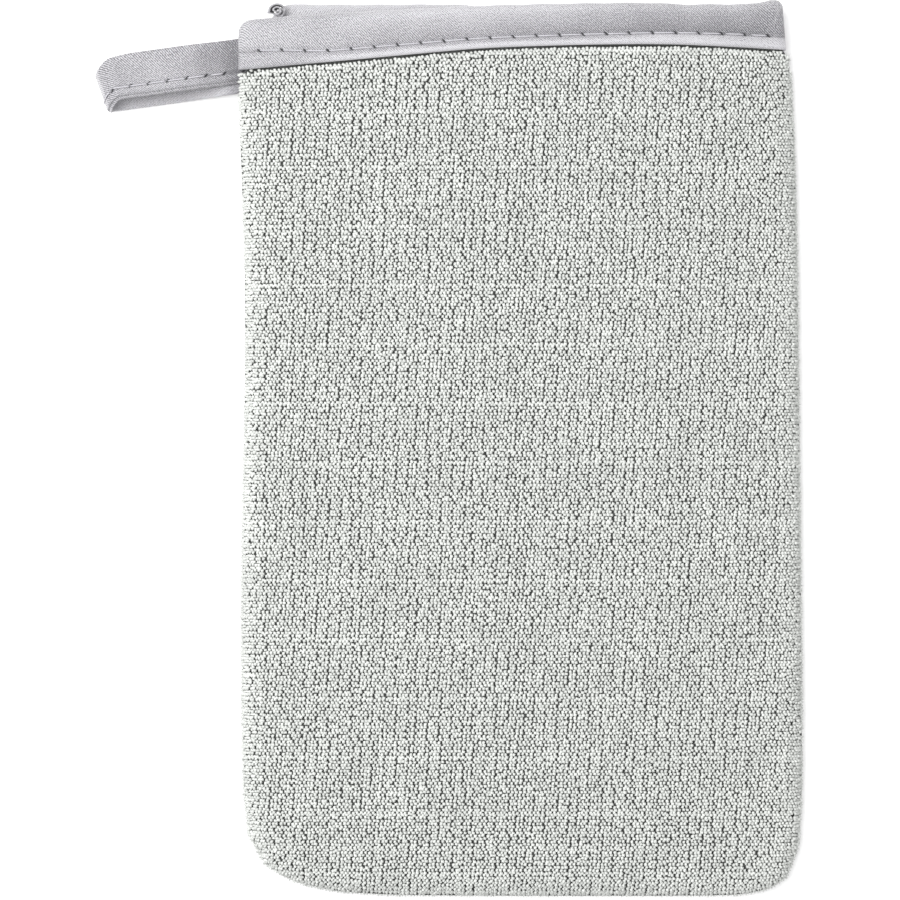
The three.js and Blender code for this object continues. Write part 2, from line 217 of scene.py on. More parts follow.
def node_shape(name):
    """Corners in millimetres and faces of a CAD node."""
    mesh = frame["nodes"][name].data
    points = np.array([v.co for v in mesh.vertices]) / MM
    return points, [tuple(p.vertices) for p in mesh.polygons]


def cover_of(name):
    points, faces = node_shape(name)
    return BVHTree.FromPolygons(points.tolist(), faces)


def smoothstep(x, low, high):
    t = min(max((x - low) / (high - low), 0), 1)
    return t * t * (3 - 2 * t)


def bell(x, width):
    return math.exp(-(x / width) ** 2)


def smooth_line(xs, ys):
    """A smooth function of x through the points."""
    xs = np.asarray(xs, float)
    ys = np.asarray(ys, float)
    slope = np.gradient(ys, xs)

    def line(x):
        x = np.clip(x, xs[0], xs[-1])
        i = np.clip(np.searchsorted(xs, x) - 1, 0, len(xs) - 2)
        h = xs[i + 1] - xs[i]
        t = (x - xs[i]) / h
        rise = (ys[i + 1] - ys[i]) * t * t * (3 - 2 * t)
        return ys[i] + rise + h * t * (1 - t) * ((1 - t) * slope[i] - t * slope[i + 1])

    return line


def lengths_along(line):
    """Distance of each point of a line from its first one."""
    steps = np.linalg.norm(np.diff(line, axis=0), axis=1)
    return np.concatenate([[0], np.cumsum(steps)])


def point_at(line, lengths, s):
    return np.array([np.interp(s, lengths, column) for column in line.T])


def apply_modifiers(piece):
    graph = bpy.context.evaluated_depsgraph_get()
    final = bpy.data.meshes.new_from_object(piece.evaluated_get(graph), preserve_all_data_layers=True,
                                            depsgraph=graph)
    piece.modifiers.clear()
    piece.data = final


def lip_lines(name):
    """Upper edge, lower edge and middle height of a binding, as functions of x."""
    points, _ = node_shape(name)
    columns = np.unique(points[:, 0].round(2))
    columns = columns[np.append(True, np.diff(columns) > 0.5)]
    rings = [points[abs(points[:, 0] - x) < 0.1] for x in columns]
    top = smooth_line(columns, [r[:, 1].max() for r in rings])
    low = smooth_line(columns, [r[:, 1].min() for r in rings])
    middle = smooth_line(columns, [(r[:, 2].min() + r[:, 2].max()) / 2 for r in rings])
    return {"top": top, "low": low, "middle": middle, "left": columns[0], "right": columns[-1]}


# --- node trees ---

def put(tree, kind, inputs=None, **settings):
    """Adds a node; an input is a value, or the socket that feeds it."""
    made = tree.nodes.new(kind)
    for name, value in settings.items():
        setattr(made, name, value)
    for name, value in (inputs or {}).items():
        if isinstance(value, bpy.types.NodeSocket):
            tree.links.new(value, made.inputs[name])
        else:
            made.inputs[name].default_value = value
    return made


def out(*given, **settings):
    """The first output of an added node."""
    return put(*given, **settings).outputs[0]


def sums(tree, operation, *values):
    return out(tree, "ShaderNodeMath", dict(enumerate(values)), operation=operation)


def random_value(tree, low, high, seed):
    made = put(tree, "FunctionNodeRandomValue", {2: low, 3: high, "Seed": seed}, data_type="FLOAT")
    return made.outputs[1]


def set_out_tree():
    """Sets small pieces out on sites, each turned and sized a little differently."""
    tree = bpy.data.node_groups.new("set_out", "GeometryNodeTree")
    sockets = {
        "Sites": "NodeSocketGeometry",
        "Pieces": "NodeSocketCollection",
        "Last Kind": "NodeSocketInt",
        "Turn": "NodeSocketFloat",
        "Turn Spread": "NodeSocketFloat",
        "Lean Spread": "NodeSocketFloat",
        "Size Spread": "NodeSocketFloat",
        "Cells": "NodeSocketInt",
        "Seed": "NodeSocketInt",
        "Finish": "NodeSocketMaterial",
    }
    for name, kind in sockets.items():
        tree.interface.new_socket(name, in_out="INPUT", socket_type=kind)
    tree.interface.new_socket("Pieces", in_out="OUTPUT", socket_type="NodeSocketGeometry")
    given = put(tree, "NodeGroupInput").outputs

    def named(name, kind):
        return out(tree, "GeometryNodeInputNamedAttribute", {"Name": name}, data_type=kind)

    def seed(step):
        return sums(tree, "ADD", given["Seed"], step)

    def spread(step, socket):
        return sums(tree, "MULTIPLY", random_value(tree, -1, 1, seed(step)), given[socket])

    def stored(geometry, name, value, kind, domain):
        inputs = {"Geometry": geometry, "Name": name, "Value": value}
        return out(tree, "GeometryNodeStoreNamedAttribute", inputs, data_type=kind, domain=domain)

    def without(geometry, name):
        return out(tree, "GeometryNodeRemoveAttribute", {"Geometry": geometry, "Name": name})

    zigzag = sums(tree, "MULTIPLY", named("zigzag", "FLOAT"), given["Turn"])
    turn = sums(tree, "ADD", zigzag, spread(1, "Turn Spread"))
    lean_x = spread(2, "Lean Spread")
    lean_y = spread(3, "Lean Spread")
    angles = out(tree, "ShaderNodeCombineXYZ", {0: lean_x, 1: lean_y, 2: turn})
    own = out(tree, "FunctionNodeEulerToRotation", {0: angles})
    upright = out(tree, "FunctionNodeAlignRotationToVector",
                  {"Vector": named("outward", "FLOAT_VECTOR")}, axis="Z")
    facing = out(tree, "FunctionNodeAlignRotationToVector",
                 {"Rotation": upright, "Vector": named("along", "FLOAT_VECTOR")}, axis="Y", pivot_axis="Z")
    rotation = out(tree, "FunctionNodeRotateRotation", {"Rotation": facing, "Rotate By": own},
                   rotation_space="LOCAL")
    size = sums(tree, "ADD", spread(4, "Size Spread"), 1.0)
    kinds = out(tree, "GeometryNodeCollectionInfo", {
        "Collection": given["Pieces"], "Separate Children": True, "Reset Children": True})
    kind = put(tree, "FunctionNodeRandomValue", {4: 0, 5: given["Last Kind"], "Seed": seed(5)},
               data_type="INT").outputs[2]
    placed = out(tree, "GeometryNodeInstanceOnPoints", {
        "Points": given["Sites"], "Instance": kinds, "Pick Instance": True,
        "Instance Index": kind, "Rotation": rotation, "Scale": size})
    for name in ("outward", "along", "zigzag"):
        placed = without(placed, name)
    placed = stored(placed, "tone", random_value(tree, 0, 1, seed(6)), "FLOAT", "INSTANCE")
    index = out(tree, "GeometryNodeInputIndex")
    across = sums(tree, "MODULO", index, given["Cells"])
    up = sums(tree, "FLOOR", sums(tree, "DIVIDE", index, given["Cells"]))
    cell = out(tree, "ShaderNodeCombineXYZ", {0: across, 1: up})
    placed = stored(placed, "cell", cell, "FLOAT_VECTOR", "INSTANCE")
    whole = out(tree, "GeometryNodeRealizeInstances", {"Geometry": placed})
    inside = out(tree, "ShaderNodeVectorMath", {
        0: named("yarn_uv", "FLOAT_VECTOR"), 1: named("cell", "FLOAT_VECTOR")}, operation="ADD")
    share = sums(tree, "DIVIDE", 1.0, given["Cells"])
    layout = out(tree, "ShaderNodeVectorMath", {0: inside, "Scale": share}, operation="SCALE")
    whole = without(stored(whole, "OFBake", layout, "FLOAT2", "CORNER"), "cell")
    whole = out(tree, "GeometryNodeSetMaterial", {"Geometry": whole, "Material": given["Finish"]})
    put(tree, "NodeGroupOutput", {0: whole})
    return tree


SET_OUT = set_out_tree()


def set_out(name, sites, kinds, finish, turn=0.0, turn_spread=0.0, lean=0.0, size=0.0, seed=SEED):
    """One piece of small shapes on the sites, as a plain mesh."""
    points = np.array([s["at"] for s in sites])
    piece = new_piece(name, points, [], finish)
    mesh = piece.data
    for label in ("outward", "along"):
        made = mesh.attributes.new(label, "FLOAT_VECTOR", "POINT")
        made.data.foreach_set("vector", np.array([s[label] for s in sites], np.float32).ravel())
    add_values(mesh, "zigzag", [s.get("zigzag", 0) for s in sites])
    modifier = piece.modifiers.new("set_out", "NODES")
    modifier.node_group = SET_OUT
    values = {
        "Pieces": kinds, "Last Kind": len(kinds.objects) - 1, "Turn": turn, "Turn Spread": turn_spread,
        "Lean Spread": lean, "Size Spread": size, "Cells": math.ceil(math.sqrt(len(sites))),
        "Seed": seed, "Finish": finish,
    }
    for socket in SET_OUT.interface.items_tree:
        if socket.in_out == "INPUT" and socket.name in values:
            modifier[socket.identifier] = values[socket.name]
    apply_modifiers(piece)
    return piece


# --- finishes ---

def new_finish(name):
    finish = bpy.data.materials.new(name)
    finish.use_nodes = True
    tree = finish.node_tree
    return finish, tree, tree.nodes["Principled BSDF"]


def attribute(tree, name):
    return put(tree, "ShaderNodeAttribute", attribute_name=name)


def blend_colours(tree, share, a, b):
    made = put(tree, "ShaderNodeMix", data_type="RGBA")
    for index, value in ((0, share), (6, a), (7, b)):
        if isinstance(value, bpy.types.NodeSocket):
            tree.links.new(value, made.inputs[index])
        else:
            made.inputs[index].default_value = value if index == 0 else (*value, 1)
    return made.outputs[2]


def turned_by(tree, coords, degrees):
    turn = (0, 0, math.radians(degrees))
    return out(tree, "ShaderNodeMapping", {"Vector": coords, "Rotation": turn})


def pile_finish():
    """Loop yarn: pale green-grey, with painted shade towards its root, uneven from loop to loop and in soft
    patches.
    """
    finish, tree, shader = new_finish("pile_yarn")
    coords = put(tree, "ShaderNodeTexCoord").outputs["Object"]
    rise = attribute(tree, "rise").outputs["Fac"]
    tone = attribute(tree, "tone").outputs["Fac"]
    patches = out(tree, "ShaderNodeTexNoise", {"Vector": coords, "Scale": 90, "Detail": 2})
    mix = sums(tree, "MULTIPLY_ADD", tone, 0.55, sums(tree, "MULTIPLY", patches, 0.5))
    top = blend_colours(tree, mix, PILE_SHADE, PILE_LIGHT)
    # Painted shade: the yarn is darkened from its tip down to its root, where the loops shade each other
    height = out(tree, "ShaderNodeMapRange", {0: rise, 1: -0.3, 2: 0.7})
    colour = blend_colours(tree, height, PILE_ROOT_SHADE, top)
    tree.links.new(colour, shader.inputs["Base Color"])
    shader.inputs["Roughness"].default_value = 0.75
    shader.inputs["Specular IOR Level"].default_value = 0.25
    return finish


def ground_finish():
    """Ground knit: small rows of stitches, its colour painted nearly black as painted shade between and
    under the loops.
    """
    finish, tree, shader = new_finish("ground_knit")
    coords = put(tree, "ShaderNodeTexCoord").outputs["Object"]
    wales = put(tree, "ShaderNodeTexWave", {"Vector": coords, "Scale": 260, "Distortion": 1.5},
                bands_direction="X").outputs[1]
    courses = put(tree, "ShaderNodeTexWave", {"Vector": coords, "Scale": 250, "Distortion": 1.5},
                  bands_direction="Y").outputs[1]
    knit = sums(tree, "MULTIPLY", wales, courses)
    colour = blend_colours(tree, knit, GROUND_SHADED_DARK, GROUND_SHADED_PALE)
    tree.links.new(colour, shader.inputs["Base Color"])
    bump = out(tree, "ShaderNodeBump", {"Strength": 0.6, "Distance": 0.0004, "Height": knit})
    tree.links.new(bump, shader.inputs["Normal"])
    shader.inputs["Roughness"].default_value = 0.9
    return finish


def needle_hole_shade(tree):
    """Painted shade in the slanted needle holes and along the line of the stitch groove between them, from
    the distance to the stitch row.
    """
    row = attribute(tree, "row").outputs["Fac"]
    stitch = attribute(tree, "stitch").outputs["Fac"]
    length = attribute(tree, "stitch_length").outputs["Fac"]
    off = sums(tree, "MULTIPLY", sums(tree, "WRAP", stitch, 0.5, -0.5), length)
    longways = sums(tree, "SUBTRACT", sums(tree, "MULTIPLY", off, 0.78), sums(tree, "MULTIPLY", row, 0.62))
    sideways = sums(tree, "ADD", sums(tree, "MULTIPLY", off, 0.62), sums(tree, "MULTIPLY", row, 0.78))
    longways = sums(tree, "POWER", sums(tree, "DIVIDE", longways, 0.7), 2.0)
    sideways = sums(tree, "POWER", sums(tree, "DIVIDE", sideways, 0.3), 2.0)
    far = sums(tree, "ADD", longways, sideways)
    hole = out(tree, "ShaderNodeMapRange", {0: far, 1: 0.6, 2: 1.5, 3: 1.0, 4: 0.0})
    from_line = sums(tree, "ABSOLUTE", sums(tree, "ADD", row, 0.1))
    line = out(tree, "ShaderNodeMapRange", {0: from_line, 1: 0.12, 2: 0.5, 3: 0.36, 4: 0.0})
    return sums(tree, "MAXIMUM", hole, line)


def satin_finish():
    """Bias tape: lavender-grey satin with a diagonal twill, with painted light and shade added from an
    attribute, and painted shade in its needle holes and stitch groove.
    """
    finish, tree, shader = new_finish("bias_tape")
    cloth = out(tree, "ShaderNodeUVMap", uv_map="tape_uv")
    turned = turned_by(tree, cloth, 45)
    twill = put(tree, "ShaderNodeTexWave", {"Vector": turned, "Scale": 690, "Distortion": 1.6, "Detail": 1,
                "Detail Scale": 2}, bands_direction="X").outputs[1]
    grain = out(tree, "ShaderNodeTexNoise", {"Vector": cloth, "Scale": 2600, "Detail": 1})
    coords = put(tree, "ShaderNodeTexCoord").outputs["Object"]
    cloudy = out(tree, "ShaderNodeTexNoise", {"Vector": coords, "Scale": 120, "Detail": 2})
    share = sums(tree, "MULTIPLY_ADD", twill, 0.75, sums(tree, "MULTIPLY", cloudy, 0.3))
    share = sums(tree, "MULTIPLY_ADD", grain, 1.6, share)
    share = sums(tree, "SUBTRACT", share, 0.78)
    # Painted light and shade: the tape's attribute lightens or darkens the satin here
    share = sums(tree, "ADD", share, attribute(tree, "painted_light_and_shade").outputs["Fac"])
    colour = blend_colours(tree, share, SATIN_SHADE, SATIN_LIGHT)
    colour = blend_colours(tree, needle_hole_shade(tree), colour, PAINTED_HOLE_SHADE)
    tree.links.new(colour, shader.inputs["Base Color"])
    bump = out(tree, "ShaderNodeBump", {"Strength": 0.35, "Distance": 0.0002, "Height": twill})
    tree.links.new(bump, shader.inputs["Normal"])
    roughness = out(tree, "ShaderNodeMapRange", {0: twill, 3: 0.38, 4: 0.5})
    tree.links.new(roughness, shader.inputs["Roughness"])
    shader.inputs["Sheen Weight"].default_value = 0.2
    shader.inputs["Specular IOR Level"].default_value = 0.5
    return finish


def thread_finish(name, light, shade):
    """Twisted thread."""
    finish, tree, shader = new_finish(name)
    coords = out(tree, "ShaderNodeUVMap", uv_map="yarn_uv")
    turned = turned_by(tree, coords, 35)
    twist = put(tree, "ShaderNodeTexWave", {"Vector": turned, "Scale": 3, "Distortion": 0.5},
                bands_direction="X").outputs[1]
    colour = blend_colours(tree, twist, shade, light)
    tree.links.new(colour, shader.inputs["Base Color"])
    bump = out(tree, "ShaderNodeBump", {"Strength": 0.4, "Distance": 0.0001, "Height": twist})
    tree.links.new(bump, shader.inputs["Normal"])
    shader.inputs["Roughness"].default_value = 0.55
    return finish


PILE_FINISH = pile_finish()
GROUND_FINISH = ground_finish()
SATIN = satin_finish()
SEWING = thread_finish("sewing_thread", SEWING_LIGHT, SEWING_SHADE)
OVERLOCK = thread_finish("overlock_thread", OVERLOCK_LIGHT, OVERLOCK_SHADE)


# --- tubes of yarn and thread ---

def yarn(name, path, radius, sides, finish, radii=None):
    """A closed tube along the path, with its own cloth coordinates and its height as an attribute."""
    path = np.asarray(path, float)
    tangents = np.gradient(path, axis=0)
    tangents /= np.linalg.norm(tangents, axis=1)[:, None]
    side = np.array((1.0, 0, 0) if abs(tangents[0][0]) < 0.9 else (0, 0, 1.0))
    points = []
    for i, tangent in enumerate(tangents):
        side = side - tangent * (side @ tangent)
        side /= np.linalg.norm(side)
        other = np.cross(tangent, side)
        r = radius if radii is None else radius * radii[i]
        for k in range(sides):
            turn = 2 * math.pi * k / sides - math.pi / 2
            points.append(path[i] + r * (math.cos(turn) * side + math.sin(turn) * other))
    layout = []
    rings = len(path)
    for i in range(rings - 1):
        for k in range(sides):
            u, v = k / sides, i / (rings - 1)
            du, dv = 1 / sides, 1 / (rings - 1)
            layout += [(u, v), (u + du, v), (u + du, v + dv), (u, v + dv)]
    layout += [(0.5, 0.01)] * sides + [(0.5, 0.99)] * sides
    faces = tube_faces(rings, sides)
    mesh = bpy.data.meshes.new(name)
    mesh.from_pydata((np.array(points) * MM).tolist(), [], faces)
    mesh.polygons.foreach_set("use_smooth", [True] * len(faces))
    mesh.materials.append(finish)
    uv = mesh.uv_layers.new(name="yarn_uv")
    uv.data.foreach_set("uv", (np.array(layout) * 0.84 + 0.08).ravel())
    low, high = path[:, 2].min(), path[:, 2].max()
    add_values(mesh, "rise", [(p[2] - low) / (high - low + 1e-6) for p in points])
    return bpy.data.objects.new(name, mesh)


def kinds_of(name, objects):
    group = bpy.data.collections.new(name)
    for o in objects:
        group.objects.link(o)
    return group


def pile_loops():
    """The shapes that the top of a loop takes: a short bow that rises in the middle."""
    h = PILE - YARN
    end = h * 0.35
    shapes = [
        [(0.0, -0.47, end), (0.0, 0.0, h), (0.0, 0.47, end)],
        [(0.08, -0.45, end), (-0.05, 0.03, h * 0.95), (0.06, 0.49, end)],
        [(-0.08, -0.49, end), (0.05, -0.03, h), (-0.06, 0.45, end)],
        [(0.05, -0.44, end), (0.0, 0.02, h * 0.92), (-0.08, 0.47, end)],
        [(-0.05, -0.48, end), (0.04, 0.0, h * 0.97), (0.08, 0.44, end)],
        [(0.0, -0.42, end), (-0.04, 0.0, h * 0.88), (0.0, 0.44, end)],
    ]
    taper = (YARN_ENDS, 1.0, YARN_ENDS)
    return kinds_of("pile_loops", [yarn(f"pile_loop_{i}", s, YARN, 4, PILE_FINISH, taper)
                                   for i, s in enumerate(shapes)])


# --- panels ---

FRONT = {"up": 1, "cover": cover_of("front_panel"), "lip": lip_lines("front_binding")}
BACK = {"up": -1, "cover": cover_of("back_panel"), "lip": lip_lines("back_binding")}


def land(side, x, y):
    """The place on a panel's outer face over x and y, and the way that the face looks there."""
    start = Vector((x, y, CLEAR * side["up"]))
    hit, normal, _, _ = side["cover"].ray_cast(start, Vector((0, 0, -side["up"])))
    return hit, normal


def walk(side, plan, first, last, pitch):
    """Places a pitch apart along the panel's face, under the line plan(t), and the last place met."""
    step = 0.2
    found = []
    before = None
    gone = 0.0
    for t in np.arange(first, last, math.copysign(step, last - first)):
        hit, normal = land(side, *plan(t))
        if hit is None:
            if before is not None:
                break
            continue
        if before is None:
            found.append((hit, normal))
        else:
            gone += (hit - before).length
            if gone >= pitch:
                found.append((hit, normal))
                gone -= pitch
        before = hit
    return found, before


def pile_sites(side, random):
    """A loop for every wale and row, and the panel's edge down the left and up the right."""
    margin = 6
    along = (WALE_SKEW, 1, 0)
    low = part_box("front_panel")[0] / MM
    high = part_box("front_panel")[1] / MM
    courses, _ = walk(side, lambda y: (CENTRE, y), high.y, low.y - margin, COURSE)
    sites = []
    left_edge = []
    right_edge = []
    for row, (middle, _) in enumerate(courses):
        y = middle.y
        zigzag = 1 - 2 * (row % 2)
        start = CENTRE + WALE_SKEW * y % WALE
        right, last_right = walk(side, lambda x: (x, y), start, high.x + margin, WALE)
        left, last_left = walk(side, lambda x: (x, y), start - WALE, low.x - margin, WALE)
        if y < side["lip"]["low"](low.x) and left and right:
            left_edge.append(last_left)
            right_edge.append(last_right)
        for hit, normal in left + right:
            if hit.y > side["lip"]["low"](hit.x) - TUCK - COURSE / 2:
                continue
            if normal.z * side["up"] < STEEPEST:
                continue
            shift = Vector((random.uniform(-1, 1), random.uniform(-1, 1), 0)) * SITE_JITTER
            shift.x += zigzag * ZIGZAG_SHIFT
            sites.append({
                "at": hit + shift - normal * PILE,
                "outward": normal,
                "along": along,
                "zigzag": zigzag,
            })
    for x in np.arange(low.x + 1.5, high.x - 1.5, WALE):
        hit, normal = land(side, x, side["lip"]["low"](x) - TUCK)
        if hit is not None:
            sites.append({"at": hit - normal * PILE, "outward": normal, "along": along})
    return sites, left_edge + right_edge[::-1]


def seam_sites(front_edge, back_edge):
    """Loops that close the side seam, and the space under the lifted edge beside the hanging loop."""
    line = np.array(back_edge)[:, :2]
    lengths = lengths_along(line)
    tops = np.array(front_edge)
    top_lengths = lengths_along(tops[:, :2])
    reach = 1.5
    base = SEAM - 0.4
    sites = []
    for s in np.arange(0.3, lengths[-1], COURSE):
        share = s / lengths[-1]
        here = point_at(line, lengths, s)
        ahead = point_at(line, lengths, s + reach)
        behind = point_at(line, lengths, s - reach)
        along = (ahead - behind) / np.linalg.norm(ahead - behind)
        outward = Vector((along[1], -along[0], 0))
        top = np.interp(share * top_lengths[-1], top_lengths, tops[:, 2])
        exits = here[0] < CENTRE and LOOP_EXIT[0] < here[1] < LOOP_EXIT[1]
        rows = 1 if exits else 1 + max(round((top - SEAM) / SEAM_FILL), 0)
        for level in np.linspace(base, max(top - 0.5, base), rows):
            at = Vector((here[0], here[1], level)) - outward * (PILE - 0.35)
            sites.append({"at": at, "outward": outward, "along": (along[0], along[1], 0.3)})
    return sites


def panel_pile(name, sites, seed):
    """The loops of a panel in six pieces: three bands in its left and in its right half."""
    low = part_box("front_panel")[0].y / MM
    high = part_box("front_panel")[1].y / MM
    bands = {"mouth": (2 / 3, 9), "middle": (1 / 3, 2 / 3), "toe": (-9, 1 / 3)}
    pieces = {}
    for half in ("left", "right"):
        for band, (first, last) in bands.items():
            chosen = [s for s in sites if (s["at"].x < CENTRE) == (half == "left")
                      and first <= (s["at"].y - low) / (high - low) < last]
            piece = set_out(f"{name}_{half}_{band}", chosen, LOOPS, PILE_FINISH, turn=ZIGZAG,
                            turn_spread=LOOP_TURN, lean=LOOP_LEAN, size=LOOP_SIZES, seed=seed + len(pieces))
            pieces[f"{half}_{band}"] = piece
    return pieces


def ground_knit(name, node, side):
    """The knit that the loops stand on: the CAD panel with its face drawn in under the pile."""
    shape = bmesh.new()
    shape.from_mesh(frame["nodes"][node].data)
    bmesh.ops.remove_doubles(shape, verts=shape.verts, dist=0.00001)
    bmesh.ops.recalc_face_normals(shape, faces=shape.faces)
    up = side["up"]
    low = side["lip"]["low"]
    drawn = []
    for v in shape.verts:
        at = v.co / MM
        above = side["cover"].ray_cast(at + Vector((0, 0, 0.02 * up)), Vector((0, 0, up)))[0]
        if above is None and at.y < low(at.x) - 0.2:
            drawn.append((v, v.co - v.normal * GROUND_INSET * MM))
    for v, place in drawn:
        v.co = place
    bmesh.ops.join_triangles(shape, faces=shape.faces, angle_face_threshold=0.7, angle_shape_threshold=3)
    piece = piece_of(name, shape)
    rounded = piece.modifiers.new("round", "SUBSURF")
    rounded.levels = 2
    rounded.render_levels = 2
    apply_modifiers(piece)
    piece.data.materials.append(GROUND_FINISH)
    piece.data.polygons.foreach_set("use_smooth", [True] * len(piece.data.polygons))
    return piece


def half_of(whole, name, side):
    """The part of a closed piece to the left (-1) or right (1) of the centre line, closed at the cut."""
    shape = bmesh.new()
    shape.from_mesh(whole.data)
    cut = bmesh.ops.bisect_plane(shape, geom=shape.verts[:] + shape.edges[:] + shape.faces[:],
                                 plane_co=(CENTRE * MM, 0, 0), plane_no=(1, 0, 0), clear_outer=side < 0,
                                 clear_inner=side > 0)["geom_cut"]
    edges = [g for g in cut if isinstance(g, bmesh.types.BMEdge)]
    for e in edges:
        e.smooth = False
    bmesh.ops.holes_fill(shape, edges=edges, sides=0)
    piece = piece_of(name, shape)
    for finish in whole.data.materials:
        piece.data.materials.append(finish)
    return piece


def opens(piece):
    """Bakes the piece's placement into its mesh."""
    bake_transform(piece)


# --- bindings ---

def nearest_hole(x, first, pitch):
    return x - (first + pitch * np.round((x - first) / pitch))


def loft(name, rings, finish, along, attributes):
    """A closed body through rings of points; along is the distance of each ring down the tape."""
    rings = np.asarray(rings, float)
    count, n, _ = rings.shape
    piece = new_piece(name, rings.reshape(-1, 3), tube_faces(count, n), finish)
    mesh = piece.data
    steps = np.linalg.norm(np.diff(rings[count // 2], axis=0, append=rings[count // 2][:1]), axis=1)
    around = np.concatenate([[0], np.cumsum(steps)])
    cloth = []
    bake = []
    for r in range(count - 1):
        for i in range(n):
            for ring, point in ((r, i), (r, i + 1), (r + 1, i + 1), (r + 1, i)):
                cloth.append((along[ring] * MM, -around[point] * MM))
                down, across = along[ring] / along[-1], around[point] / around[-1]
                bake.append((0.02 + 0.96 * down, 0.02 + 0.96 * across))
    for end in (0, -1):
        cloth += [(along[end] * MM, 0)] * n
        bake += [(0.01 if end == 0 else 0.99, 0.5)] * n
    mesh.uv_layers.new(name="tape_uv").data.foreach_set("uv", np.array(cloth).ravel())
    mesh.uv_layers.new(name="OFBake").data.foreach_set("uv", np.array(bake).ravel())
    for label, values in attributes.items():
        add_values(mesh, label, values)
    if volume(mesh) < 0:
        mesh.flip_normals()
    return piece


def volume(mesh):
    shape = bmesh.new()
    shape.from_mesh(mesh)
    size = shape.calc_volume(signed=True)
    shape.free()
    return size


def stitch_height(x):
    """Height of the stitch row over the tape's lower edge: higher at the left and a little at the right."""
    at_left = 1.65 * (1 - smoothstep(x, -52, -30))
    at_right = 0.5 * smoothstep(x, 40, 88)
    return 3.05 + at_left + at_right - 0.35 * bell(x - 15, 35)


def swell(side, x, below):
    """How far the tape's face stands over its flat leg."""
    lip = side["lip"]
    width = lip["top"](x) - lip["low"](x)
    row = stitch_height(x)
    q = below - row
    off = nearest_hole(x, FIRST_HOLE, STITCH)
    rise = -STITCH_DIP * bell(q, 0.75) * (0.7 + 0.3 * bell(off, 0.75))
    if q < 0:
        t = below / row
        gather = 0.05 * math.sin(2 * math.pi * x / 1.35 + 1.3 * math.sin(x * 0.37))
        rise += (0.3 + gather) * math.sin(math.pi * min(max(t, 0), 1)) ** 0.8
    else:
        t = q / (width - LIP - row)
        rise += 0.22 * math.sin(math.pi * min(max(t, 0), 1))
        fold = math.sin((x + 0.9 * q) * 0.42) * math.sin(x * 0.093 + 1)
        rise += 0.07 * fold * bell(q, 5)
    rise -= 0.25 * bell(off, 0.45) * bell(q + 0.5 * off, 0.45)
    return rise


def satin_painted_light(x, below, width):
    """Painted light and shade on the front tape: painted highlights on the lip's lower edge, over the lip
    towards the right and towards the fold, painted shade just above the stitch row, and more painted shade
    towards the right.
    """
    row = stitch_height(x)
    inland = smoothstep(x, -35, -5)
    if below < row:
        t = below / row
        lower_band = 0.5 * smoothstep(x, -48, -20) * (1 - smoothstep(t, 0.3, 0.62))
        whole_lip = 0.26 * smoothstep(x, 38, 58) * smoothstep(t, 0, 0.3) * (1 - smoothstep(t, 0.75, 1))
        return lower_band * (1 - 0.5 * smoothstep(x, 38, 58)) + whole_lip - 0.05
    t = (below - row) / (width - row)
    fold = 0.24 * smoothstep(t, 0.55, 0.95)
    return inland * (fold - 0.14 * (1 - smoothstep(t, 0.1, 0.6))) - 0.17 * smoothstep(x, 10, 60)


def tape_columns(left, right):
    """Places of the rings along a binding, closer together at its rounded ends."""
    ends = np.array([0, 0.05, 0.15, 0.3, 0.5, 0.75])
    between = np.linspace(1, right - left - 1, round((right - left - 2) / RING))
    return left + np.concatenate([ends, between, right - left - ends[::-1]])


def tape_top(side, x, from_end):
    """Upper edge of a binding, with its rounded and pointed corners."""
    top = side["lip"]["top"](x) + 0.08 * math.sin(x * 0.57)
    if side is BACK:
        top += (0.95 + 0.6 * bell(x + 45, 4)) * smoothstep(x, -50, -46) * (1 - smoothstep(x, 0, 15))
    else:
        top += 0.9 * bell(x - 87, 3.2) - 0.55 * bell(x - 64, 9)
    corner = 3.4 if x < CENTRE else 1.6
    if from_end < corner:
        top -= corner - math.sqrt(max(corner ** 2 - (corner - from_end) ** 2, 0))
    return top


